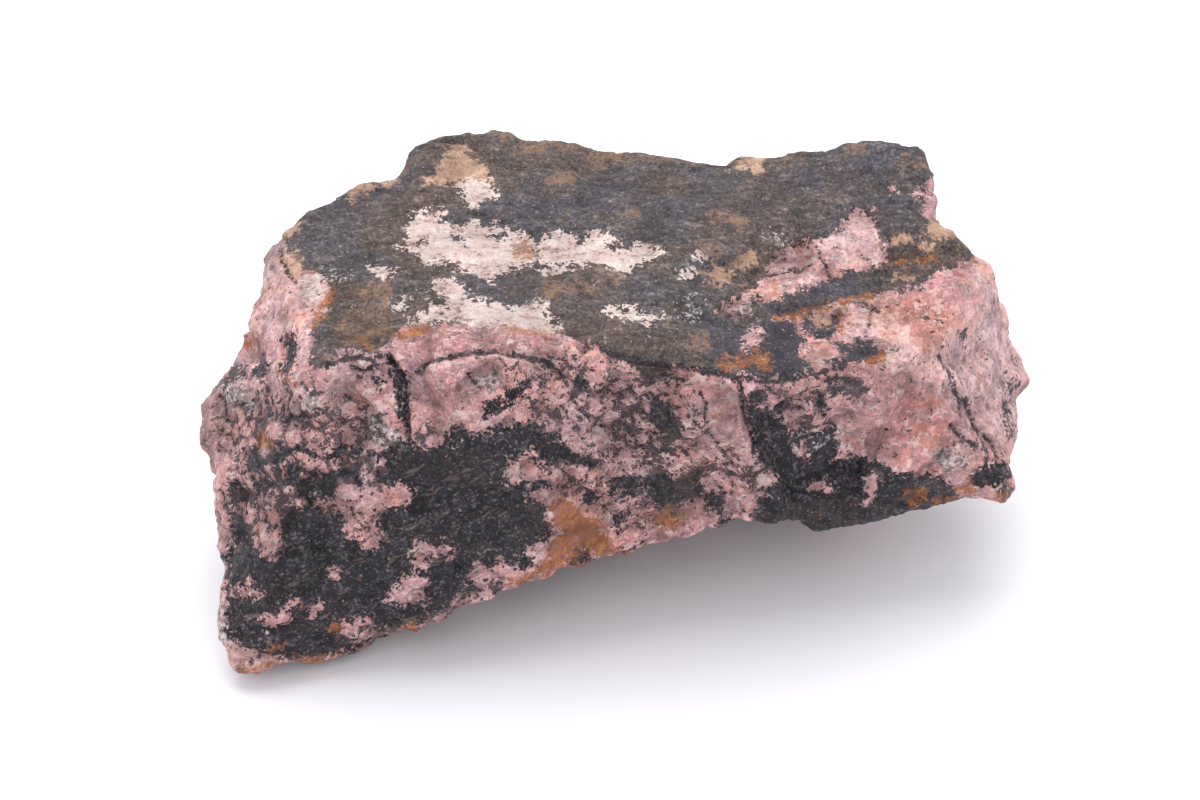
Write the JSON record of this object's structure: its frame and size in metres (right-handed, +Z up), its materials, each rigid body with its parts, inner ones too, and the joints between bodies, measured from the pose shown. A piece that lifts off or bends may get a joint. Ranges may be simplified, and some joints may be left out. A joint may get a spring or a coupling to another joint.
{
  "type": "rough rhodonite",
  "caption": "Rough block of pink rhodonite with black manganese oxide skin, wedge-shaped, with a flat weathered top and broken sides.",
  "frame": {"origin": "below the middle of the stone's box, on the surface that the stone rests on", "axes": "+X along the stone's length, to the right in the picture; +Y to the back; +Z up"},
  "size_m": [0.1004, 0.0612, 0.0438],
  "materials": {
    "stone": "granular pink rhodonite with black and dark brown manganese oxide, cream patches and ochre stains, dull to slightly glossy"
  },
  "bodies": {
    "root": {"rhodonite": "stone"}
  },
  "joints": []
}
